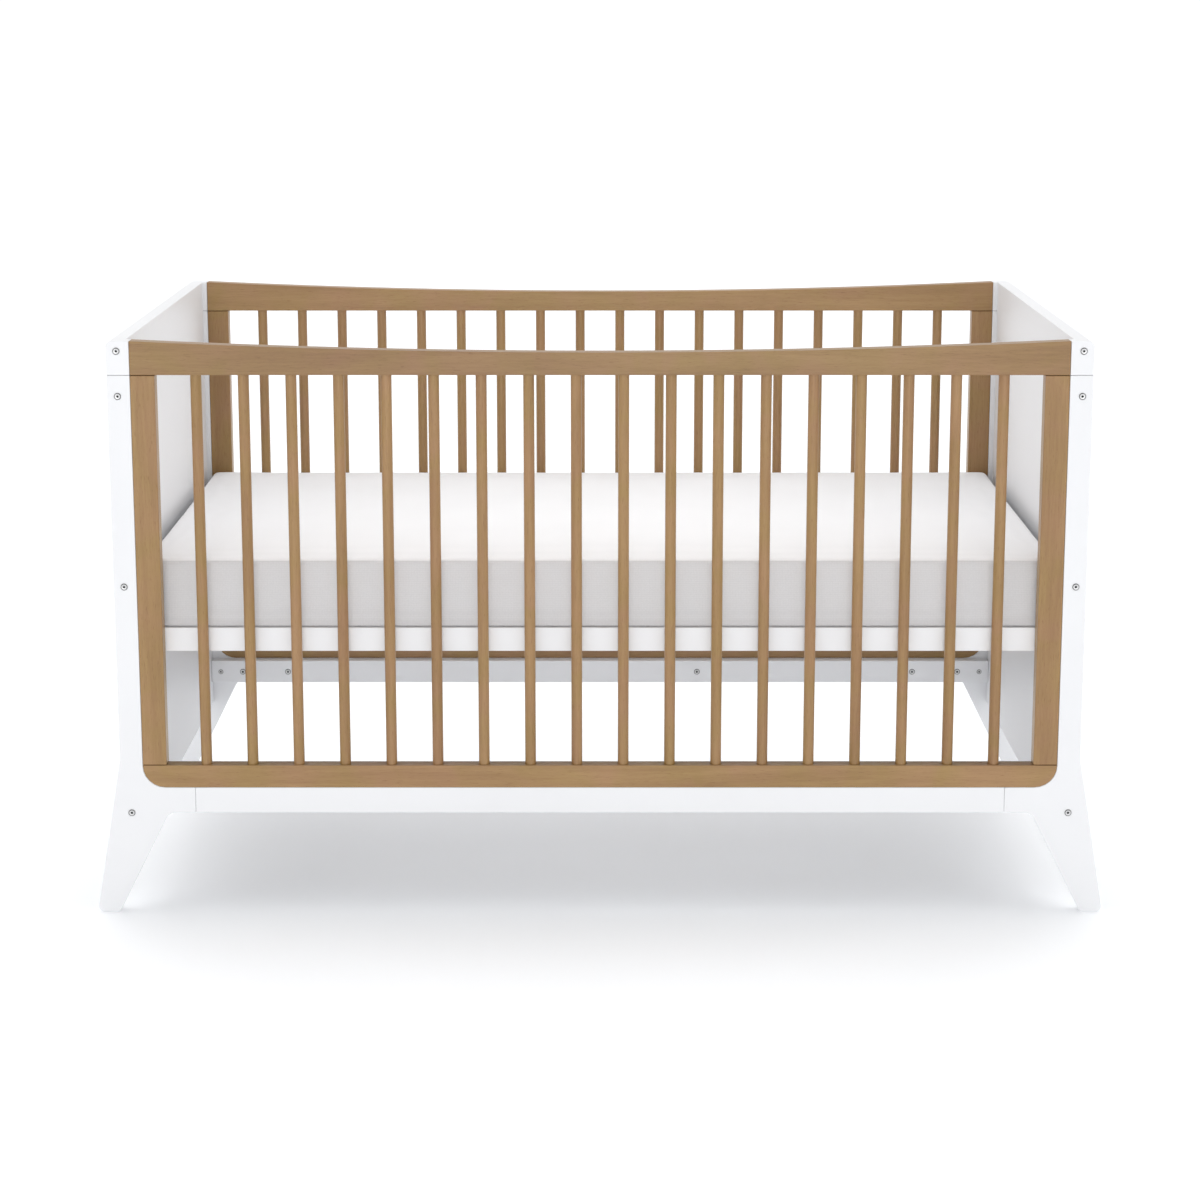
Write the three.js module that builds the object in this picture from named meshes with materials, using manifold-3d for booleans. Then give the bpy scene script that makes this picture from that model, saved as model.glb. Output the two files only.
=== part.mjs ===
// Baby crib: two wooden spindle sides in white posts, two white end panels, a slatted base and a mattress.
// Millimetres. X runs along the crib, Y from the front side to the back side, Z up from the floor.
import * as THREE from "three";
import { mergeVertices } from "three/addons/utils/BufferGeometryUtils.js";
import Module from "manifold-3d";

const wasm = await Module();
wasm.setup();

// Driving dimensions of the whole crib.
const INNER_LENGTH = 1412; // between the two end panels
const INNER_WIDTH = 710; // between the two sides
const HEIGHT = 890; // floor to the top corners
const BOARD = 22; // thickness of the sides and of the end panels
const GAP = 0.3; // clearance between two pieces that touch
const WOOD_SEAM = 0.9; // open joint between a stile and a rail
const PAINT_SEAM = 0.6; // open joint between a cap and its post

// Side frame, seen from the front.
const PANEL_HALF = INNER_LENGTH / 2 - 8; // half the length of the wooden panel
const POST_WIDTH = 35;
const POST_OUTER = PANEL_HALF + POST_WIDTH;
const CAP_RADIUS = 9;
const TOP_RAIL_DEPTH = 51; // at its ends
const TOP_RAIL_SAG = 17; // how far the top edge dips at the middle
const RAIL_BOTTOM = HEIGHT - TOP_RAIL_DEPTH;
const STILE_WIDTH = 36.5;
const BASE_RAIL_LOW = 160.5;
const BASE_RAIL_HIGH = 200.7;
const BOTTOM_RAIL_HIGH = 235.7;
const CORNER_RADIUS = 34; // lower corners of the wooden panel
const SEAM_X = 618.7; // joint between a leg piece and the base rail

// Splayed foot of a leg piece.
const FLARE_Z = 244; // the outer edge leans outwards below this height
const FOOT_OUTER = 774.7; // outer and inner edges carried down to the floor
const FOOT_INNER = 740.5;
const INNER_SLOPE = 0.5; // sideways run of the inner edge for each unit of height
const FOOT_RADIUS = 9;
const LEG_FILLET = 18;

// Spindles.
const SPINDLES = 18;
const SPINDLE_PITCH = 70.8;
const SPINDLE_RADIUS = 8.3;
const SPINDLE_SIDES = 12;
const TENON = 14; // how deep a spindle enters each rail

// Ledges, end panels, base and mattress.
const LEDGE_DEPTH = 20;
const END_LOW = 120;
const BASE_LOW = 410;
const BASE_HEIGHT = 36;
const BASE_CLEARANCE = 2;
const BASE_BOARD = 18;
const SLATS = 12;
const SLAT_WIDTH = 60;
const SLAT_THICKNESS = 12;
const MATTRESS_THICKNESS = 110;
const MATTRESS_CLEARANCE = 3;
const MATTRESS_CORNER = 16;
const MATTRESS_ROUND = 10;

const ARC_STEPS = 6; // segments of a small rounded corner
const SAG_STEPS = 24; // segments of the long dipping edge

const materials = {
  stained_wood: { color: "#a4835f", roughness: 0.55, metalness: 0 },
  white_paint: { color: "#f1f1f3", roughness: 0.4, metalness: 0 },
  mattress_fabric: { color: "#f4f4f6", roughness: 0.95, metalness: 0 },
};

const crib = new THREE.Group();
crib.name = "baby_crib";

function add(name, geometry, slot) {
  const material = new THREE.MeshStandardMaterial(materials[slot]);
  const mesh = new THREE.Mesh(geometry, material);
  mesh.name = name;
  crib.add(mesh);
}

function toManifold(geometry) {
  const bare = geometry.clone();
  bare.deleteAttribute("normal");
  bare.deleteAttribute("uv");
  const merged = mergeVertices(bare, 1e-4);
  return new wasm.Manifold(
    new wasm.Mesh({
      numProp: 3,
      vertProperties: merged.attributes.position.array,
      triVerts: new Uint32Array(merged.index.array),
    }),
  );
}

function fromManifold(solid) {
  const mesh = solid.getMesh();
  const geometry = new THREE.BufferGeometry();
  geometry.setAttribute(
    "position",
    new THREE.BufferAttribute(new Float32Array(mesh.vertProperties), 3),
  );
  geometry.setIndex(new THREE.BufferAttribute(new Uint32Array(mesh.triVerts), 1));
  const flat = geometry.toNonIndexed();
  flat.computeVertexNormals();
  return flat;
}

// Points of an arc about (cx, cz), from one angle to another in degrees, both ends included.
function arc(cx, cz, radius, from, to, steps = ARC_STEPS) {
  const points = [];
  for (let i = 0; i <= steps; i++) {
    const angle = THREE.MathUtils.degToRad(from + ((to - from) * i) / steps);
    points.push([cx + radius * Math.cos(angle), cz + radius * Math.sin(angle)]);
  }
  return points;
}

// A board cut to an outline in X and Z, lying between two heights of Y. hand -1 mirrors it left for right.
function sideBoard(outline, yLow, yHigh, hand = 1) {
  const shape = new THREE.Shape(outline.map(([x, z]) => new THREE.Vector2(hand * x, z)));
  const geometry = new THREE.ExtrudeGeometry(shape, {
    depth: yHigh - yLow,
    bevelEnabled: false,
  });
  geometry.rotateX(Math.PI / 2);
  geometry.translate(0, yHigh, 0);
  return geometry;
}

function box(xLow, xHigh, yLow, yHigh, zLow, zHigh) {
  const geometry = new THREE.BoxGeometry(xHigh - xLow, yHigh - yLow, zHigh - zLow);
  geometry.translate((xLow + xHigh) / 2, (yLow + yHigh) / 2, (zLow + zHigh) / 2);
  return geometry;
}

// An upright round bar.
function bar(x, y, radius, zLow, zHigh) {
  const geometry = new THREE.CylinderGeometry(radius, radius, zHigh - zLow, SPINDLE_SIDES);
  geometry.rotateX(Math.PI / 2);
  geometry.translate(x, y, (zLow + zHigh) / 2);
  return geometry;
}

function spindleX(index) {
  return (index - (SPINDLES - 1) / 2) * SPINDLE_PITCH;
}

// Blind round holes for the ends of the spindles, cut out of a rail.
function withMortises(rail, y, zLow, zHigh) {
  let solid = toManifold(rail);
  for (let i = 0; i < SPINDLES; i++) {
    const hole = bar(spindleX(i), y, SPINDLE_RADIUS + GAP, zLow, zHigh);
    solid = solid.subtract(toManifold(hole));
  }
  return fromManifold(solid);
}

// The wooden top rail: straight underside, top edge one long shallow arc.
function topRail(yLow, yHigh) {
  const radius = (PANEL_HALF ** 2 + TOP_RAIL_SAG ** 2) / (2 * TOP_RAIL_SAG);
  const reach = THREE.MathUtils.radToDeg(Math.asin(PANEL_HALF / radius));
  const centreZ = HEIGHT - TOP_RAIL_SAG + radius;
  const outline = [
    [-PANEL_HALF, RAIL_BOTTOM],
    [PANEL_HALF, RAIL_BOTTOM],
    ...arc(0, centreZ, radius, -90 + reach, -90 - reach, SAG_STEPS),
  ];
  const middle = (yLow + yHigh) / 2;
  const depth = TENON + GAP;
  return withMortises(
    sideBoard(outline, yLow, yHigh), middle, RAIL_BOTTOM - depth, RAIL_BOTTOM + depth,
  );
}

// The wooden bottom rail, with its lower corners rounded.
function bottomRail(yLow, yHigh) {
  const centreX = PANEL_HALF - CORNER_RADIUS;
  const low = BASE_RAIL_HIGH + GAP;
  const centreZ = low + CORNER_RADIUS;
  const outline = [
    ...arc(-centreX, centreZ, CORNER_RADIUS, 180, 270),
    ...arc(centreX, centreZ, CORNER_RADIUS, 270, 360),
    [PANEL_HALF, BOTTOM_RAIL_HIGH],
    [-PANEL_HALF, BOTTOM_RAIL_HIGH],
  ];
  const middle = (yLow + yHigh) / 2;
  const depth = TENON + GAP;
  return withMortises(
    sideBoard(outline, yLow, yHigh), middle, BOTTOM_RAIL_HIGH - depth, BOTTOM_RAIL_HIGH + depth,
  );
}

function stileOutline() {
  return [
    [PANEL_HALF - STILE_WIDTH, BOTTOM_RAIL_HIGH + WOOD_SEAM],
    [PANEL_HALF, BOTTOM_RAIL_HIGH + WOOD_SEAM],
    [PANEL_HALF, RAIL_BOTTOM - WOOD_SEAM],
    [PANEL_HALF - STILE_WIDTH, RAIL_BOTTOM - WOOD_SEAM],
  ];
}

// The white end of the top rail, over the post.
function capOutline() {
  return [
    [PANEL_HALF + GAP, RAIL_BOTTOM],
    [POST_OUTER, RAIL_BOTTOM],
    ...arc(POST_OUTER - CAP_RADIUS, HEIGHT - CAP_RADIUS, CAP_RADIUS, 0, 90),
    [PANEL_HALF + GAP, HEIGHT],
  ];
}

// Rounds a corner of an outline: the arc that touches both edges that meet at the corner.
function roundCorner(before, corner, after, radius) {
  const c = new THREE.Vector2(...corner);
  const toBefore = new THREE.Vector2(...before).sub(c).normalize();
  const toAfter = new THREE.Vector2(...after).sub(c).normalize();
  const half = Math.acos(toBefore.dot(toAfter)) / 2;
  const middle = toBefore.clone().add(toAfter).normalize();
  const centre = c.clone().addScaledVector(middle, radius / Math.sin(half));
  const start = c.clone().addScaledVector(toBefore, radius / Math.tan(half)).sub(centre);
  const end = c.clone().addScaledVector(toAfter, radius / Math.tan(half)).sub(centre);
  const from = start.angle();
  let turn = end.angle() - from;
  if (turn > Math.PI) turn -= 2 * Math.PI;
  if (turn < -Math.PI) turn += 2 * Math.PI;
  const degrees = THREE.MathUtils.radToDeg;
  return arc(centre.x, centre.y, radius, degrees(from), degrees(from + turn));
}

// One white piece: the upright post, the corner that cradles the wooden panel, and the splayed leg.
function legOutline() {
  const innerAtRail = FOOT_INNER - INNER_SLOPE * BASE_RAIL_LOW;
  const seam = SEAM_X + GAP;
  const flare = [POST_OUTER, FLARE_Z];
  const footOuter = [FOOT_OUTER, 0];
  const footInner = [FOOT_INNER, 0];
  const crook = [innerAtRail, BASE_RAIL_LOW];
  const railEnd = [seam, BASE_RAIL_LOW];
  const cradleX = PANEL_HALF - CORNER_RADIUS;
  const cradleZ = BASE_RAIL_HIGH + GAP + CORNER_RADIUS;
  return [
    [POST_OUTER, RAIL_BOTTOM - PAINT_SEAM],
    flare,
    ...roundCorner(flare, footOuter, footInner, FOOT_RADIUS),
    ...roundCorner(footOuter, footInner, crook, FOOT_RADIUS),
    ...roundCorner(footInner, crook, railEnd, LEG_FILLET),
    railEnd,
    [seam, BASE_RAIL_HIGH],
    ...arc(cradleX, cradleZ, CORNER_RADIUS + GAP, 270, 360),
    [PANEL_HALF + GAP, RAIL_BOTTOM - PAINT_SEAM],
  ];
}

// One long side: wooden panel, white posts with legs, base rail and the ledge behind it.
function side(name, inward) {
  const faces = [-inward * (INNER_WIDTH / 2 + BOARD), (-inward * INNER_WIDTH) / 2];
  const yLow = Math.min(...faces);
  const yHigh = Math.max(...faces);
  const middle = (yLow + yHigh) / 2;
  add(`${name}_top_rail`, topRail(yLow, yHigh), "stained_wood");
  add(`${name}_bottom_rail`, bottomRail(yLow, yHigh), "stained_wood");
  for (const [hand, word] of [[-1, "left"], [1, "right"]]) {
    add(`${name}_${word}_stile`, sideBoard(stileOutline(), yLow, yHigh, hand), "stained_wood");
    add(`${name}_${word}_leg`, sideBoard(legOutline(), yLow, yHigh, hand), "white_paint");
    add(`${name}_${word}_cap`, sideBoard(capOutline(), yLow, yHigh, hand), "white_paint");
  }
  for (let i = 0; i < SPINDLES; i++) {
    const spindle = bar(
      spindleX(i), middle, SPINDLE_RADIUS, BOTTOM_RAIL_HIGH - TENON, RAIL_BOTTOM + TENON,
    );
    add(`${name}_spindle_${String(i + 1).padStart(2, "0")}`, spindle, "stained_wood");
  }
  const baseRail = box(-SEAM_X, SEAM_X, yLow, yHigh, BASE_RAIL_LOW, BASE_RAIL_HIGH);
  add(`${name}_base_rail`, baseRail, "white_paint");
  const ledgeFaces = [
    -inward * (INNER_WIDTH / 2 - GAP), -inward * (INNER_WIDTH / 2 - LEDGE_DEPTH),
  ];
  const ledgeHalf = INNER_LENGTH / 2 - GAP;
  const ledge = box(
    -ledgeHalf, ledgeHalf, Math.min(...ledgeFaces), Math.max(...ledgeFaces),
    BASE_RAIL_LOW, BASE_RAIL_HIGH,
  );
  add(`${name}_ledge`, ledge, "white_paint");
}

function endPanel(hand) {
  const faces = [hand * (INNER_LENGTH / 2), hand * (INNER_LENGTH / 2 + BOARD)];
  const halfWidth = INNER_WIDTH / 2 - GAP;
  return box(Math.min(...faces), Math.max(...faces), -halfWidth, halfWidth, END_LOW, HEIGHT);
}

function rectangle(halfX, halfY) {
  return [[-halfX, -halfY], [halfX, -halfY], [halfX, halfY], [-halfX, halfY]]
    .map(([x, y]) => new THREE.Vector2(x, y));
}

// The base: a frame of boards on edge, with slats across it level with its top.
function mattressBase() {
  const halfX = INNER_LENGTH / 2 - BASE_CLEARANCE;
  const halfY = INNER_WIDTH / 2 - BASE_CLEARANCE;
  const openX = halfX - BASE_BOARD;
  const openY = halfY - BASE_BOARD;
  const ring = new THREE.Shape(rectangle(halfX, halfY));
  ring.holes.push(new THREE.Path(rectangle(openX, openY)));
  const frame = new THREE.ExtrudeGeometry(ring, { depth: BASE_HEIGHT, bevelEnabled: false });
  frame.translate(0, 0, BASE_LOW);
  const top = BASE_LOW + BASE_HEIGHT;
  const pitch = (2 * openX + SLAT_WIDTH) / (SLATS + 1);
  const seat = BASE_BOARD / 2; // each slat end is let this far into the frame
  let solid = toManifold(frame);
  for (let i = 0; i < SLATS; i++) {
    const x = (i - (SLATS - 1) / 2) * pitch;
    const slat = box(
      x - SLAT_WIDTH / 2, x + SLAT_WIDTH / 2, -openY - seat, openY + seat,
      top - SLAT_THICKNESS, top,
    );
    solid = solid.add(toManifold(slat));
  }
  return fromManifold(solid);
}

// The mattress: a block with rounded upright corners and rounded long edges.
function mattress() {
  const halfX = INNER_LENGTH / 2 - MATTRESS_CLEARANCE - MATTRESS_ROUND;
  const halfY = INNER_WIDTH / 2 - MATTRESS_CLEARANCE - MATTRESS_ROUND;
  const radius = MATTRESS_CORNER - MATTRESS_ROUND;
  const outline = [
    ...arc(halfX - radius, -halfY + radius, radius, -90, 0),
    ...arc(halfX - radius, halfY - radius, radius, 0, 90),
    ...arc(-halfX + radius, halfY - radius, radius, 90, 180),
    ...arc(-halfX + radius, -halfY + radius, radius, 180, 270),
  ];
  const shape = new THREE.Shape(outline.map(([x, y]) => new THREE.Vector2(x, y)));
  const geometry = new THREE.ExtrudeGeometry(shape, {
    depth: MATTRESS_THICKNESS - 2 * MATTRESS_ROUND,
    bevelThickness: MATTRESS_ROUND,
    bevelSize: MATTRESS_ROUND,
    bevelSegments: 3,
  });
  geometry.translate(0, 0, BASE_LOW + BASE_HEIGHT + GAP + MATTRESS_ROUND);
  return geometry;
}

side("front", 1);
side("back", -1);
add("left_end_panel", endPanel(-1), "white_paint");
add("right_end_panel", endPanel(1), "white_paint");
add("mattress_base", mattressBase(), "white_paint");
add("mattress", mattress(), "mattress_fabric");

export default crib;
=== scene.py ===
import math

import bmesh
import bpy
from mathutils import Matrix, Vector, noise


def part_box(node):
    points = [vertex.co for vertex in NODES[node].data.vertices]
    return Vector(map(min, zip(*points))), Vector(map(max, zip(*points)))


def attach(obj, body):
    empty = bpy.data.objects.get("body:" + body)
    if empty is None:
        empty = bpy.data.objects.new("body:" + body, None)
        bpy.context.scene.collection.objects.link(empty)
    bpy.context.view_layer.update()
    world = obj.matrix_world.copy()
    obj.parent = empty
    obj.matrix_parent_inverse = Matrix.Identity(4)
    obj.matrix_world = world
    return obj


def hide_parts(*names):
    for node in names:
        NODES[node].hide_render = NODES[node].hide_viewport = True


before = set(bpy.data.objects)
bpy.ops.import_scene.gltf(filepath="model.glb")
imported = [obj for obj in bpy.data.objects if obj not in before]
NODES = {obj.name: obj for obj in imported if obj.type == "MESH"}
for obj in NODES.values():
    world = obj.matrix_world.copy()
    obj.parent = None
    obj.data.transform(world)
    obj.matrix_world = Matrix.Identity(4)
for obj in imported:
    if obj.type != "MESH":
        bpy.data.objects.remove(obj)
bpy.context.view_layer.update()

WORDS = ("left", "right")  # the left end is at negative X

# Lengths are in metres. Widths of the rounded edges:
WOOD_EDGE = 0.0013
PAINT_EDGE = 0.0011
BASE_EDGE = 0.0015
SMOOTH_ANGLE = math.radians(30)  # faces that meet at less than this are shaded as one
EDGE_ANGLE = math.radians(40)  # edges that turn by more than this are rounded
FLAT_ANGLE = math.radians(0.1)  # faces that meet at less than this count as one flat face
WELD_DISTANCE = 0.00002

# The lines of glue and painted shade in the joints between boards: thickness, and distance behind
# the faces.
WOOD_JOINT = 0.0009
PAINT_JOINT = 0.0006
JOINT_SETBACK = 0.002
JOINT_END_SETBACK = 0.0004  # at the ends of a joint
JOINT_EDGE = 0.0001

SPINDLE_CHAMFER = 0.0012

# Fasteners.
POST_BOLT_RADIUS = 0.0056
POST_BOLT_HEIGHTS = (0.875, 0.807, 0.516, 0.1605)  # above the floor
LEDGE_BOLT_RADIUS = 0.0056
LEDGE_BOLT_X = (-0.649, -0.567, -0.2096, 0.176, 0.567, 0.649)
LEDGE_END_SCREW_X = 0.689
LEDGE_END_SCREW_RADIUS = 0.0046
BRACKET_Y = 0.2
BRACKET_WIDTH = 0.04
BRACKET_DROP = 0.03
BRACKET_REACH = 0.026
BRACKET_SHEET = 0.0016
BRACKET_EDGE = 0.0004
BRACKET_BOLT_RADIUS = 0.0042
BRACKET_BOLT_DROP = 0.018  # from the base down to the bolts
BRACKET_GAP = 0.0002  # between a bracket and what it is fixed to
SLATS = 12
SLAT_WIDTH = 0.06
BASE_BOARD = 0.018  # thickness of the boards around the base
SLAT_SCREW_RADIUS = 0.0032
SLAT_SCREW_SPREAD = 0.018  # from the slat's middle to each of the two screws in its end
SLAT_SCREW_INSET = 0.0135  # from the long edges of the base

# Mattress.
MATTRESS_INSET = 0.006  # the block starts this much smaller than the space it fills
MATTRESS_SWELL = 0.0055  # the most that any point may move
MATTRESS_FOOT = 0.02  # that movement fades in over this height, so that the underside stays flat
MATTRESS_CORNER = 0.014
MATTRESS_TOP_ROUND = 0.009
MATTRESS_BOTTOM_ROUND = 0.002
MATTRESS_CELL = 0.011
SEAM_DEPTH = 0.0009  # how far the sewn edge between cover and border is drawn in
UNEVEN = 0.0007  # how far the cover wanders from flat
UNEVEN_SCALE = 9.0
FACES_UP = 0.9  # a point whose normal has at least this height is on the top of the cover

# The cloth pass that fills out the top of the mattress and draws in its sides.
CLOTH_PRESSURE = 4.0
CLOTH_MASS = 0.3
CLOTH_STRETCH = 25.0
CLOTH_SHEAR = 15.0
CLOTH_BEND = 2.0
CLOTH_STEPS = 20

# Studio light: the world's brightness low down and overhead, the glow of the lit floor, then soft
# far lights as (azimuth, elevation, strength, angular width), in degrees. Azimuth 0 is in front,
# 90 to the right.
HORIZON_LIGHT = 1.05
ZENITH_LIGHT = 0.1
LOW_SKY, HIGH_SKY = 0.05, 0.8  # sines of the angles between which one fades to the other
FLOOR_GLOW = 0.120
SOFT_LIGHTS = {
    "left_softbox": (-80, 47, 0.73, 50),
    "right_softbox": (80, 47, 0.73, 50),
    "left_rear_softbox": (-110, 50, 0.28, 50),
    "right_rear_softbox": (110, 50, 0.28, 50),
    "rear_softbox": (180, 60, 1.23, 50),
    "front_fill": (0, 9, 0.66, 25),
}

LAMP_DISTANCE = 5.0
FLOOR_HALF = 80.0  # half the width of the floor

# Camera: lens in millimetres, tilt below level in degrees, shift in picture widths.
CAMERA_LENS = 73.32
CAMERA_SHIFT = -0.15
CAMERA_DISTANCE = 3.959
CAMERA_HEIGHT = 1.407
CAMERA_TILT = 10.06


# ---------------------------------------------------------------- materials

class Graph:
    """A material's nodes, added and linked with short calls."""

    def __init__(self, name):
        self.material = bpy.data.materials.new(name)
        self.material.use_nodes = True
        self.tree = self.material.node_tree
        self.shader = self.tree.nodes["Principled BSDF"]

    def add(self, kind, inputs=None, **settings):
        node = self.tree.nodes.new("ShaderNode" + kind)
        for key, value in settings.items():
            setattr(node, key, value)
        for key, value in (inputs or {}).items():
            self.feed(node.inputs[key], value)
        return node

    def feed(self, socket, value):
        if isinstance(value, bpy.types.NodeSocket):
            self.tree.links.new(value, socket)
        else:
            socket.default_value = value

    def set(self, **inputs):
        for key, value in inputs.items():
            self.feed(self.shader.inputs[key.replace("_", " ")], value)

    def coordinates(self, scale):
        place = self.add("TexCoord")
        stretch = self.add("Mapping", {"Vector": place.outputs["Object"], "Scale": scale})
        return stretch.outputs["Vector"]

    def noise(self, vector, scale, detail=3.0, roughness=0.5, distortion=0.0):
        node = self.add("TexNoise", {
            "Vector": vector, "Scale": scale, "Detail": detail,
            "Roughness": roughness, "Distortion": distortion,
        })
        return node.outputs["Fac"]

    def ramp(self, value, *stops):
        node = self.add("ValToRGB", {"Fac": value})
        elements = node.color_ramp.elements
        while len(elements) < len(stops):
            elements.new(0.5)
        for element, (position, colour) in zip(elements, stops):
            element.position = position
            element.color = (*colour, 1.0)
        return node.outputs["Color"]

    def spread(self, value, low, high, from_low=0.3, from_high=0.7):
        node = self.add("MapRange", {
            "Value": value, "From Min": from_low, "From Max": from_high,
            "To Min": low, "To Max": high,
        })
        return node.outputs["Result"]

    def math(self, operation, a, b):
        node = self.add("Math", operation=operation)
        self.feed(node.inputs[0], a)
        self.feed(node.inputs[1], b)
        return node.outputs["Value"]

    def blend(self, kind, factor, a, b):
        node = self.add("MixRGB", {"Fac": factor, "Color1": a, "Color2": b}, blend_type=kind)
        return node.outputs["Color"]

    def bump(self, height, distance, strength=1.0):
        node = self.add("Bump", {"Height": height, "Distance": distance, "Strength": strength})
        self.set(Normal=node.outputs["Normal"])


def grey(level):
    return (level, level, level)


def stained_wood(name, along, painted_brightness=1.0):
    """Light brown stained beech under a satin lacquer, its grain along one axis."""
    g = Graph(name)
    long_scale, cross_scale = 1.0, 16.0
    stretch = [cross_scale] * 3
    stretch[along] = long_scale
    grain = g.coordinates(stretch)
    broad = g.noise(grain, 2.4, detail=4.0, roughness=0.6, distortion=0.6)
    colour = g.ramp(
        broad,
        (0.30, (0.282, 0.153, 0.0575)),
        (0.50, (0.325, 0.187, 0.0705)),
        (0.70, (0.360, 0.214, 0.0840)),
    )
    streaks = g.noise(grain, 22.0, detail=6.0, roughness=0.7, distortion=0.3)
    # The third argument scales the colour: painted light or painted shade, for a copy of this wood
    # that is to read lighter or darker under the same light.
    colour = g.blend("MULTIPLY", 1.0, colour, g.ramp(
        streaks, (0.30, (0.90 * painted_brightness, 0.88 * painted_brightness, 0.85 * painted_brightness)), (0.62, grey(1.03 * painted_brightness))))
    fleck_stretch = [900.0] * 3
    fleck_stretch[along] = 90.0
    flecks = g.noise(g.coordinates(fleck_stretch), 1.0, detail=2.0)
    fleck_mask = g.spread(flecks, 0.0, 1.0, 0.60, 0.74)
    colour = g.blend("MULTIPLY", fleck_mask, colour, (0.80, 0.74, 0.68, 1.0))
    patch = g.noise(g.coordinates((9.0, 9.0, 9.0)), 1.0, detail=2.0, distortion=1.0)
    colour = g.blend("MULTIPLY", 1.0, colour, g.ramp(
        patch, (0.34, (0.96, 1.00, 0.86)), (0.66, (1.03, 0.99, 1.12))))
    g.set(
        Base_Color=colour,
        Roughness=g.spread(streaks, 0.46, 0.34),
        IOR=1.5,
        Coat_Weight=0.15,
        Coat_Roughness=0.25,
    )
    height = g.math("SUBTRACT", g.math("MULTIPLY", streaks, 0.5), fleck_mask)
    g.bump(height, 0.00012, 0.5)
    return g.material


def white_paint(name, along, painted_brightness=1.0):
    """Satin white paint that lets a trace of the board's grain through."""
    g = Graph(name)
    patch = g.noise(g.coordinates((3.0, 3.0, 3.0)), 1.0, detail=3.0)
    # The third argument scales the colour: painted light or painted shade, for a copy of this
    # paint that is to read lighter or darker under the same light.
    low = tuple(painted_brightness * part for part in (0.800, 0.804, 0.820))
    high = tuple(painted_brightness * part for part in (0.822, 0.826, 0.841))
    colour = g.ramp(patch, (0.30, low), (0.70, high))
    stretch = [420.0] * 3
    stretch[along] = 22.0
    grain = g.noise(g.coordinates(stretch), 1.0, detail=4.0, roughness=0.6)
    peel = g.noise(g.coordinates((650.0, 650.0, 650.0)), 1.0, detail=2.0)
    g.set(
        Base_Color=colour,
        Roughness=g.spread(patch, 0.34, 0.46),
        IOR=1.5,
    )
    g.bump(g.math("ADD", grain, g.math("MULTIPLY", peel, 0.6)), 0.00006, 0.45)
    return g.material


def knit_fabric(name, light, dark, loops, fuzz):
    """A fine knit: rows of small loops, painted darker towards their edges as shade in the hollows
    between them, with a soft sheen and slight unevenness.
    """
    g = Graph(name)
    cells = g.add("TexVoronoi", {
        "Vector": g.coordinates((loops, loops, loops * 0.7)), "Scale": 1.0,
        "Randomness": 0.25,
    })
    loop = cells.outputs["Distance"]
    uneven = g.noise(g.coordinates((9.0, 9.0, 9.0)), 1.0, detail=4.0)
    # Painted shade: the colour darkens towards each loop's edge, where the bump sinks between
    # loops.
    shade = g.ramp(loop, (0.15, light), (0.75, dark))
    colour = g.blend("MULTIPLY", 1.0, shade, g.ramp(
        uneven, (0.30, grey(0.985)), (0.70, grey(1.0))))
    g.set(Base_Color=colour, Roughness=0.92, IOR=1.4, Sheen_Weight=fuzz, Sheen_Roughness=0.5)
    fibres = g.noise(g.coordinates((1600.0, 1600.0, 1600.0)), 1.0, detail=2.0)
    height = g.math("SUBTRACT", g.math("MULTIPLY", fibres, 0.5), loop)
    g.bump(height, 0.00045, 0.55)
    return g.material


def steel(name, level, roughness):
    """Zinc-plated steel with fine turning marks."""
    g = Graph(name)
    marks = g.noise(g.coordinates((1500.0, 1500.0, 1500.0)), 1.0, detail=3.0)
    g.set(
        Base_Color=g.ramp(marks, (0.3, grey(level * 0.92)), (0.7, grey(level))),
        Metallic=1.0,
        Roughness=g.spread(marks, roughness, roughness + 0.12),
    )
    g.bump(marks, 0.00002, 0.4)
    return g.material


def joint_line(name, colour):
    """Glue and painted shade in a joint: matt, darker than the boards, a little uneven."""
    g = Graph(name)
    uneven = g.noise(g.coordinates((300.0, 300.0, 300.0)), 1.0, detail=2.0)
    darker = tuple(0.8 * part for part in colour)
    g.set(Base_Color=g.ramp(uneven, (0.3, darker), (0.7, colour)), Roughness=0.9)
    g.bump(uneven, 0.0001)
    return g.material


def studio_floor():
    g = Graph("studio_floor")
    mottle = g.noise(g.coordinates((1.5, 1.5, 1.5)), 1.0, detail=2.0)
    g.set(
        Base_Color=g.ramp(mottle, (0.3, (0.915, 0.93, 0.952)), (0.7, (0.925, 0.94, 0.962))),
        Roughness=0.9,
        Emission_Color=(1.0, 1.0, 1.0, 1.0),
        Emission_Strength=FLOOR_GLOW,
    )
    return g.material


WOOD_ALONG_X = stained_wood("stained_wood_along_rail", 0)
# Painted shade: a darker copy of the same stain, so that the front top rail reads darker under the
# light.
WOOD_TOP_RAIL_PAINTED_DARKER = stained_wood("stained_wood_top_rail_painted_darker", 0, painted_brightness=0.86)
WOOD_ALONG_Z = stained_wood("stained_wood_upright", 2)
PAINT_ALONG_X = white_paint("white_paint_along_rail", 0)
PAINT_ALONG_Y = white_paint("white_paint_across", 1)
# Painted light: a lighter copy of the same white paint, so that the base's boards read brighter
# under the light.
PAINT_BASE_PAINTED_LIGHTER = white_paint("white_paint_of_base_painted_lighter", 0, painted_brightness=1.06)
PAINT_ALONG_Z = white_paint("white_paint_upright", 2)
COVER = knit_fabric("mattress_cover_knit", (0.94, 0.94, 0.955), (0.895, 0.895, 0.91), 620.0, 0.25)
BORDER = knit_fabric("mattress_border_knit", (0.76, 0.76, 0.775), (0.70, 0.70, 0.715), 420.0, 0.15)
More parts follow.
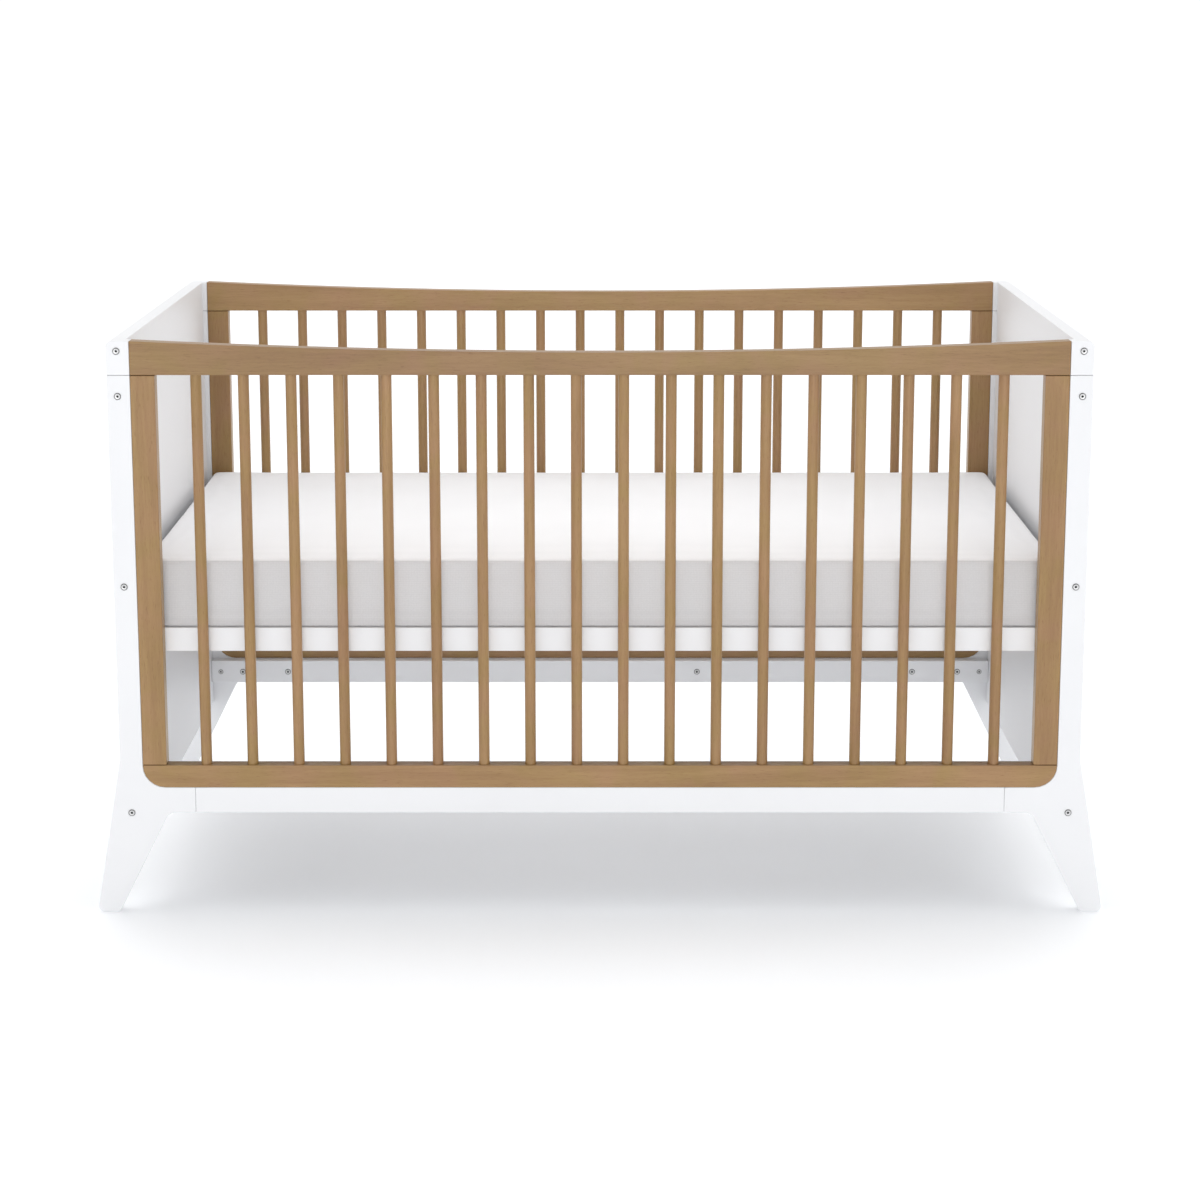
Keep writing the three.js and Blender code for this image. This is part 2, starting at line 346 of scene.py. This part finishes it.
# Painted shade as well as glue: dark brown and grey fillings that stand for the shade in the
# joints.
WOOD_GLUE_AND_SHADE = joint_line("glue_and_shade_line_in_wood", (0.085, 0.045, 0.020))
PAINT_GLUE_AND_SHADE = joint_line("glue_and_shade_line_in_paint", (0.42, 0.42, 0.43))
STEEL = steel("bolt_steel", 0.62, 0.30)
# Painted shade: near-black steel for the grooves, sockets and recesses of the bolts and screws,
# standing for the shade in them.
PAINTED_SHADE_STEEL = steel("bolt_socket_painted_shade", 0.04, 0.5)


def material_for(node):
    if "ledge" in node or "base_rail" in node:
        return PAINT_ALONG_X
    if "leg" in node or "cap" in node:
        return PAINT_ALONG_Z
    if "end_panel" in node:
        return PAINT_ALONG_Y
    if "stile" in node or "spindle" in node:
        return WOOD_ALONG_Z
    # The front top rail takes the darker copy of the stain: painted shade.
    if node == "front_top_rail":
        return WOOD_TOP_RAIL_PAINTED_DARKER
    if "rail" in node:
        return WOOD_ALONG_X
    # Everything else, the mattress base among it, takes the lighter copy of the paint: painted
    # light.
    return PAINT_BASE_PAINTED_LIGHTER


# ---------------------------------------------------------------- mesh helpers

def piece(name, bm, materials, body):
    """An object from a bmesh, with its materials, smooth where faces meet gently."""
    mesh = bpy.data.meshes.new(name)
    bm.to_mesh(mesh)
    bm.free()
    for material in materials:
        mesh.materials.append(material)
    mesh.shade_smooth()
    mesh.set_sharp_from_angle(angle=SMOOTH_ANGLE)
    made = bpy.data.objects.new(name, mesh)
    bpy.context.scene.collection.objects.link(made)
    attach(made, body)
    return made


def lathe(bm, profile, origin, axis, steps, dark=()):
    """Turns (radius, height) points about an axis. Bands in dark get the second material."""
    axis = Vector(axis).normalized()
    side = axis.orthogonal().normalized()
    other = axis.cross(side)
    rings = []
    for radius, height in profile:
        centre = Vector(origin) + axis * height
        if radius == 0:
            rings.append([bm.verts.new(centre)])
            continue
        ring = []
        for i in range(steps):
            angle = 2 * math.pi * i / steps
            ring.append(bm.verts.new(
                centre + radius * (math.cos(angle) * side + math.sin(angle) * other)))
        rings.append(ring)
    for band, (low, high) in enumerate(zip(rings, rings[1:])):
        for i in range(steps):
            j = (i + 1) % steps
            corners = [
                low[i % len(low)], low[j % len(low)],
                high[j % len(high)], high[i % len(high)],
            ]
            unique = list(dict.fromkeys(corners))
            if len(unique) > 2:
                bm.faces.new(unique).material_index = 1 if band in dark else 0


def hex_bolt(bm, origin, axis, radius, steps=36):
    """A connector bolt: a thin ring, a groove, and a flat head with a hexagonal socket. The groove
    and the socket's walls and floor take the near-black second material: painted shade.
    """
    sink = 0.14 * radius
    ring_top = 0.15 * radius
    recess = 0.02 * radius
    head_top = 0.21 * radius
    mouth_radius = 0.40 * radius
    socket = 0.36 * radius
    profile = [
        (0.0, -sink), (radius, -sink), (radius, 0.09 * radius), (0.98 * radius, 0.13 * radius),
        (0.94 * radius, ring_top), (0.90 * radius, 0.12 * radius), (0.89 * radius, recess),
        (0.79 * radius, recess), (0.77 * radius, 0.16 * radius), (0.70 * radius, head_top),
        (mouth_radius, head_top),
    ]
    # Painted shade: the groove's bands get the near-black second material.
    groove_bands = (6, 7)
    lathe(bm, profile, origin, axis, steps, dark=groove_bands)
    origin = Vector(origin)
    axis = Vector(axis).normalized()
    side = axis.orthogonal().normalized()
    other = axis.cross(side)
    mouth, rim, floor = [], [], []
    for i in range(steps):
        angle = 2 * math.pi * i / steps
        to_flat = math.cos(math.pi / 6) / math.cos((angle % (math.pi / 3)) - math.pi / 6)
        spoke = math.cos(angle) * side + math.sin(angle) * other
        mouth.append(bm.verts.new(origin + axis * head_top + spoke * mouth_radius))
        rim.append(bm.verts.new(origin + axis * 0.19 * radius + spoke * socket * to_flat))
        floor.append(bm.verts.new(origin + axis * recess + spoke * socket * to_flat))
    centre = bm.verts.new(origin + axis * recess)
    for i in range(steps):
        j = (i + 1) % steps
        bm.faces.new([mouth[i], mouth[j], rim[j], rim[i]])
        # Painted shade: the socket's walls and floor get the near-black second material.
        bm.faces.new([rim[i], rim[j], floor[j], floor[i]]).material_index = 1
        bm.faces.new([floor[i], floor[j], centre]).material_index = 1
    bmesh.ops.remove_doubles(bm, verts=bm.verts, dist=0.000001)


def block(bm, low, high, edge):
    """A box with rounded edges."""
    made = bmesh.ops.create_cube(bm, size=1.0)["verts"]
    low, high = Vector(low), Vector(high)
    for vert in made:
        vert.co = Vector([
            low[k] + (vert.co[k] + 0.5) * (high[k] - low[k]) for k in range(3)])
    edges = list({e for v in made for e in v.link_edges})
    bmesh.ops.bevel(
        bm, geom=edges, offset=edge, segments=2, profile=0.7, affect="EDGES",
        clamp_overlap=True)


# ---------------------------------------------------------------- the carried-over boards

def soften(node, width, whole_faces=True):
    """Rounds a board's edges with modifiers; the board itself is left as it is."""
    weld = node.modifiers.new("weld", "WELD")
    weld.merge_threshold = WELD_DISTANCE
    if whole_faces:
        plain = node.modifiers.new("flat_faces", "DECIMATE")
        plain.decimate_type = "DISSOLVE"
        plain.angle_limit = FLAT_ANGLE
    rounding = node.modifiers.new("rounded_edges", "BEVEL")
    rounding.width = width
    rounding.segments = 3
    rounding.limit_method = "ANGLE"
    rounding.angle_limit = EDGE_ANGLE
    rounding.use_clamp_overlap = True


def dress_boards():
    for name, node in NODES.items():
        if "spindle" in name or name == "mattress":
            continue
        material = material_for(name)
        node.material_slots[0].link = "OBJECT"
        node.material_slots[0].material = material
        if name == "mattress_base":
            soften(node, BASE_EDGE, whole_faces=False)  # its flat faces have holes in them
        elif material in (WOOD_ALONG_X, WOOD_ALONG_Z, WOOD_TOP_RAIL_PAINTED_DARKER):
            soften(node, WOOD_EDGE)
        else:
            soften(node, PAINT_EDGE)


def make_spindles():
    """Smooth round spindles in place of the many-sided ones."""
    for name in sorted(NODES):
        if "spindle" not in name:
            continue
        low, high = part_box(name)
        centre = (low + high) / 2
        radius = (high.x - low.x) / 2
        neck = radius - SPINDLE_CHAMFER
        bm = bmesh.new()
        profile = [
            (0.0, low.z), (neck, low.z), (radius, low.z + SPINDLE_CHAMFER), (radius, centre.z),
            (radius, high.z - SPINDLE_CHAMFER), (neck, high.z), (0.0, high.z),
        ]
        lathe(bm, profile, (centre.x, centre.y, 0.0), (0, 0, 1), steps=40)
        bar = piece(name + "_turned", bm, [WOOD_ALONG_Z], "frame")
        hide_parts(name)


def make_glue_and_shade_lines():
    """Thin fillings in the joints, set back from the faces, so that no light shows through. Their
    dark colour is painted shade as well as glue.
    """
    for side in ("front", "back"):
        rail_low, rail_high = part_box(f"{side}_base_rail")
        for hand, word in zip((-1, 1), WORDS):
            corner = f"{side}_{word}"
            low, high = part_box(f"{corner}_stile")
            set_back = Vector((JOINT_END_SETBACK, JOINT_SETBACK, 0.0))
            above = (low + set_back, high - set_back)
            above[0].z, above[1].z = high.z, high.z + WOOD_JOINT
            below = (low + set_back, high - set_back)
            below[0].z, below[1].z = low.z - WOOD_JOINT, low.z
            low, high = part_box(f"{corner}_cap")
            under_cap = (low + set_back, high - set_back)
            under_cap[0].z, under_cap[1].z = low.z - PAINT_JOINT, low.z
            end = rail_low.x if hand < 0 else rail_high.x
            beside = sorted((end, end + hand * PAINT_JOINT))
            rail_end = (
                Vector((beside[0], rail_low.y + JOINT_SETBACK, rail_low.z + JOINT_SETBACK)),
                Vector((beside[1], rail_high.y - JOINT_SETBACK, rail_high.z - JOINT_SETBACK)))
            for place, ends, material, slot_name in (
                    ("upper", above, WOOD_GLUE_AND_SHADE, "stained_wood"),
                    ("lower", below, WOOD_GLUE_AND_SHADE, "stained_wood"),
                    ("cap", under_cap, PAINT_GLUE_AND_SHADE, "white_paint"),
                    ("base_rail", rail_end, PAINT_GLUE_AND_SHADE, "white_paint")):
                bm = bmesh.new()
                block(bm, *ends, edge=JOINT_EDGE)
                piece(f"{corner}_{place}_glue_and_shade_line", bm, [material], "frame")


# ---------------------------------------------------------------- fasteners

def make_post_bolts():
    """Hex-socket connector bolts down each post, front and back."""
    for side, facing in (("front", -1), ("back", 1)):
        for word in WORDS:
            low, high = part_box(f"{word}_end_panel")
            x = (low.x + high.x) / 2
            face_low, face_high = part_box(f"{side}_{word}_leg")
            y = face_low.y if facing < 0 else face_high.y
            for number, z in enumerate(POST_BOLT_HEIGHTS, 1):
                bm = bmesh.new()
                hex_bolt(bm, (x, y, z), (0, facing, 0), POST_BOLT_RADIUS)
                piece(
                    f"{side}_{word}_post_bolt_{number}", bm, [STEEL, PAINTED_SHADE_STEEL], "frame")


def make_ledge_bolts():
    """Bolts through each ledge into the base rail and legs, and a small screw at each end."""
    for side, facing in (("front", 1), ("back", -1)):
        low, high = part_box(f"{side}_ledge")
        y = high.y if facing > 0 else low.y
        z = (low.z + high.z) / 2
        for number, x in enumerate(LEDGE_BOLT_X, 1):
            bm = bmesh.new()
            hex_bolt(bm, (x, y, z), (0, facing, 0), LEDGE_BOLT_RADIUS)
            piece(f"{side}_ledge_bolt_{number}", bm, [STEEL, PAINTED_SHADE_STEEL], "frame")
        for hand, word in zip((-1, 1), WORDS):
            bm = bmesh.new()
            hex_bolt(bm, (hand * LEDGE_END_SCREW_X, y, z), (0, facing, 0), LEDGE_END_SCREW_RADIUS)
            piece(
                f"{side}_ledge_{word}_end_screw", bm, [STEEL, PAINTED_SHADE_STEEL], "frame")


def make_brackets():
    """Steel angle brackets under the ends of the base, against the end panels."""
    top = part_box("mattress_base")[0].z - BRACKET_GAP
    half = BRACKET_WIDTH / 2
    for hand, word in zip((-1, 1), WORDS):
        panel_low, panel_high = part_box(f"{word}_end_panel")
        wall = panel_high.x if hand < 0 else panel_low.x
        outer = wall - hand * BRACKET_GAP
        inner = outer - hand * BRACKET_SHEET
        reach = outer - hand * BRACKET_REACH
        for y, where in ((-BRACKET_Y, "front"), (BRACKET_Y, "back")):
            bm = bmesh.new()
            block(
                bm, (min(outer, inner), y - half, top - BRACKET_DROP),
                (max(outer, inner), y + half, top), BRACKET_EDGE)
            block(
                bm, (min(inner, reach), y - half, top - BRACKET_SHEET),
                (max(inner, reach), y + half, top), BRACKET_EDGE)
            for offset in (-half / 2, half / 2):
                hex_bolt(
                    bm, (inner, y + offset, top - BRACKET_BOLT_DROP), (-hand, 0, 0),
                    BRACKET_BOLT_RADIUS)
            piece(f"{word}_{where}_base_bracket", bm, [STEEL, PAINTED_SHADE_STEEL], "base")


def make_slat_screws():
    """Countersunk screws, two in each end of every slat, flush with the top of the base."""
    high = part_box("mattress_base")[1]
    open_x = high.x - BASE_BOARD
    row_y = high.y - SLAT_SCREW_INSET
    pitch = (2 * open_x + SLAT_WIDTH) / (SLATS + 1)
    r = SLAT_SCREW_RADIUS
    profile = [
        (0.0, -0.1 * r), (r, -0.1 * r), (r, 0.02 * r), (0.92 * r, 0.06 * r), (0.40 * r, 0.06 * r),
        (0.32 * r, 0.02 * r), (0.0, 0.02 * r),
    ]
    # Painted shade: the recess in each head gets the near-black second material.
    recess_bands = (4, 5)
    bm = bmesh.new()
    for number in range(SLATS):
        middle = (number - (SLATS - 1) / 2) * pitch
        for x in (middle - SLAT_SCREW_SPREAD, middle + SLAT_SCREW_SPREAD):
            for y in (-row_y, row_y):
                lathe(bm, profile, (x, y, high.z), (0, 0, 1), steps=16, dark=recess_bands)
    piece("slat_screws", bm, [STEEL, PAINTED_SHADE_STEEL], "base")


dress_boards()
make_spindles()
make_glue_and_shade_lines()
make_post_bolts()
make_ledge_bolts()
make_brackets()
make_slat_screws()


# ---------------------------------------------------------------- mattress

def steps_between(start, end, size):
    """Evenly spaced values after start, up to and with end, about size apart."""
    count = max(1, round(abs(end - start) / size))
    return [start + (end - start) * (i + 1) / count for i in range(count)]


def grid_lines(low, high, corner, cell):
    """Places along one side: close together in the rounded corners, even between them."""
    return (
        [low] + steps_between(low, low + corner, corner / 4)
        + steps_between(low + corner, high - corner, cell)
        + steps_between(high - corner, high, corner / 4))


def height_lines(low, high):
    """Places up the border: close together at its rounded edges, even between them."""
    lower, upper = low + MATTRESS_BOTTOM_ROUND, high - MATTRESS_TOP_ROUND
    return (
        [low] + steps_between(low, lower, MATTRESS_BOTTOM_ROUND / 3)
        + steps_between(lower, upper, MATTRESS_CELL)
        + steps_between(upper, high, MATTRESS_TOP_ROUND / 5))


def rounded(place, low, high):
    """Moves a point of a plain box's surface to the same box with round corners and edges."""
    core = Vector((
        min(max(place.x, low.x + MATTRESS_CORNER), high.x - MATTRESS_CORNER),
        min(max(place.y, low.y + MATTRESS_CORNER), high.y - MATTRESS_CORNER)))
    out = place.xy - core
    reach = max(abs(out.x), abs(out.y))
    in_from_side = MATTRESS_CORNER - reach
    if place.z > (low.z + high.z) / 2:
        edge, in_from_face, upward = MATTRESS_TOP_ROUND, high.z - place.z, 1
    else:
        edge, in_from_face, upward = MATTRESS_BOTTOM_ROUND, place.z - low.z, -1
    if in_from_side < edge and in_from_face < edge:
        across, along = 1 - in_from_side / edge, 1 - in_from_face / edge
        length = math.hypot(across, along)
        in_from_side = edge * (1 - across / length)
        in_from_face = edge * (1 - along / length)
    if out.length > 0:
        core += out.normalized() * (MATTRESS_CORNER - in_from_side)
    face = high.z if upward > 0 else low.z
    return Vector((core.x, core.y, face - upward * in_from_face))


def mattress_block(low, high):
    """The foam block before it fills its cover: an even net of quads with rounded corners."""
    xs = grid_lines(low.x, high.x, MATTRESS_CORNER, MATTRESS_CELL)
    ys = grid_lines(low.y, high.y, MATTRESS_CORNER, MATTRESS_CELL)
    zs = height_lines(low.z, high.z)
    bm = bmesh.new()
    known = {}

    def vertex(x, y, z):
        if (x, y, z) not in known:
            known[x, y, z] = bm.verts.new(rounded(Vector((x, y, z)), low, high))
        return known[x, y, z]

    def net(columns, rows, place, material=1):
        for a, b in zip(columns, columns[1:]):
            for c, d in zip(rows, rows[1:]):
                corners = [vertex(*place(*at)) for at in ((a, c), (b, c), (b, d), (a, d))]
                bm.faces.new(corners).material_index = material

    net(xs, ys, lambda x, y: (x, y, zs[-1]), material=0)
    net(ys, xs, lambda y, x: (x, y, zs[0]), material=0)
    net(xs, zs, lambda x, z: (x, ys[0], z))
    net(zs, xs, lambda z, x: (x, ys[-1], z))
    net(zs, ys, lambda z, y: (xs[0], y, z))
    net(ys, zs, lambda y, z: (xs[-1], y, z))
    mesh = bpy.data.meshes.new("mattress_core")
    bm.to_mesh(mesh)
    bm.free()
    mesh.materials.append(COVER)
    mesh.materials.append(BORDER)
    return mesh


def apply_modifiers(made):
    evaluated = made.evaluated_get(bpy.context.evaluated_depsgraph_get())
    mesh = bpy.data.meshes.new_from_object(evaluated)
    made.modifiers.clear()
    made.data = mesh


def swell(made):
    """One cloth pass with pressure inside: the top rises a little and the sides draw in. Each
    point is then held to a short travel, and to none at the underside."""
    start = [v.co.copy() for v in made.data.vertices]
    foot = min(place.z for place in start)
    cloth = made.modifiers.new("pressure", "CLOTH")
    cloth.settings.use_pressure = True
    cloth.settings.uniform_pressure_force = CLOTH_PRESSURE
    cloth.settings.mass = CLOTH_MASS
    cloth.settings.tension_stiffness = CLOTH_STRETCH
    cloth.settings.compression_stiffness = CLOTH_STRETCH
    cloth.settings.shear_stiffness = CLOTH_SHEAR
    cloth.settings.bending_stiffness = CLOTH_BEND
    cloth.settings.effector_weights.gravity = 0.0
    cloth.collision_settings.use_collision = False
    scene = bpy.context.scene
    for number in range(CLOTH_STEPS):
        scene.frame_set(number + 1)
    apply_modifiers(made)
    scene.frame_set(1)
    for vert, was in zip(made.data.vertices, start):
        travel = vert.co - was
        if travel.length > MATTRESS_SWELL:
            travel = travel.normalized() * MATTRESS_SWELL
        vert.co = was + travel * min(1.0, (was.z - foot) / MATTRESS_FOOT)


def sew(made, was):
    """Draws in the sewn edges, where cover meets border, and lets the cover wander from flat."""
    kinds = [set() for _ in made.data.vertices]
    for face in made.data.polygons:
        for number in face.vertices:
            kinds[number].add(face.material_index)
    for vert, place, kind in zip(made.data.vertices, was, kinds):
        if len(kind) > 1:
            vert.co -= vert.normal * SEAM_DEPTH
        elif vert.normal.z > FACES_UP:
            vert.co.z -= UNEVEN * (0.5 + 0.5 * noise.noise(place * UNEVEN_SCALE))


def make_mattress():
    floor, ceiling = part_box("mattress")
    low = floor + Vector((MATTRESS_INSET, MATTRESS_INSET, 0.0))
    high = ceiling - Vector((MATTRESS_INSET, MATTRESS_INSET, MATTRESS_INSET))
    made = bpy.data.objects.new("mattress_body", mattress_block(low, high))
    bpy.context.scene.collection.objects.link(made)
    was = [v.co.copy() for v in made.data.vertices]
    swell(made)
    sew(made, was)
    for vert in made.data.vertices:
        vert.co.z = max(vert.co.z, floor.z)
    made.data.shade_smooth()
    finer = made.modifiers.new("finer", "SUBSURF")
    finer.levels = 1
    apply_modifiers(made)
    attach(made, "bedding")
    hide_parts("mattress")


make_mattress()


# ---------------------------------------------------------------- stage, light and camera

def make_floor():
    bm = bmesh.new()
    bmesh.ops.create_grid(bm, x_segments=8, y_segments=8, size=FLOOR_HALF)
    mesh = bpy.data.meshes.new("studio_floor")
    bm.to_mesh(mesh)
    bm.free()
    mesh.materials.append(studio_floor())
    floor = bpy.data.objects.new("studio_floor", mesh)
    bpy.context.scene.collection.objects.link(floor)


def make_world():
    """A white studio, bright near the horizon and dim overhead."""
    world = bpy.data.worlds.new("white_studio")
    world.use_nodes = True
    tree = world.node_tree
    background = tree.nodes["Background"]
    background.inputs["Color"].default_value = (1.0, 1.0, 1.0, 1.0)
    direction = tree.nodes.new("ShaderNodeTexCoord")
    split = tree.nodes.new("ShaderNodeSeparateXYZ")
    level = tree.nodes.new("ShaderNodeMapRange")
    level.inputs["From Min"].default_value = LOW_SKY
    level.inputs["From Max"].default_value = HIGH_SKY
    level.inputs["To Min"].default_value = HORIZON_LIGHT
    level.inputs["To Max"].default_value = ZENITH_LIGHT
    tree.links.new(direction.outputs["Generated"], split.inputs["Vector"])
    tree.links.new(split.outputs["Z"], level.inputs["Value"])
    tree.links.new(level.outputs["Result"], background.inputs["Strength"])
    bpy.context.scene.world = world


def make_soft_lights():
    for name, (azimuth, elevation, strength, width) in SOFT_LIGHTS.items():
        data = bpy.data.lights.new(name, "SUN")
        data.energy = strength
        data.angle = math.radians(width)
        lamp = bpy.data.objects.new(name, data)
        turn, lift = math.radians(azimuth), math.radians(elevation)
        towards = Vector((
            math.sin(turn) * math.cos(lift), -math.cos(turn) * math.cos(lift), math.sin(lift)))
        lamp.rotation_euler = (-towards).to_track_quat("-Z", "Y").to_euler()
        lamp.location = towards * LAMP_DISTANCE
        bpy.context.scene.collection.objects.link(lamp)


def make_camera():
    data = bpy.data.cameras.new("camera")
    data.lens = CAMERA_LENS
    data.sensor_width = 36.0
    data.shift_y = CAMERA_SHIFT
    camera = bpy.data.objects.new("camera", data)
    camera.location = (0.0, -CAMERA_DISTANCE, CAMERA_HEIGHT)
    camera.rotation_euler = (math.radians(90.0 - CAMERA_TILT), 0.0, 0.0)
    bpy.context.scene.collection.objects.link(camera)
    bpy.context.scene.camera = camera


make_floor()
make_world()
make_soft_lights()
make_camera()
bpy.context.scene.view_settings.view_transform = "Standard"
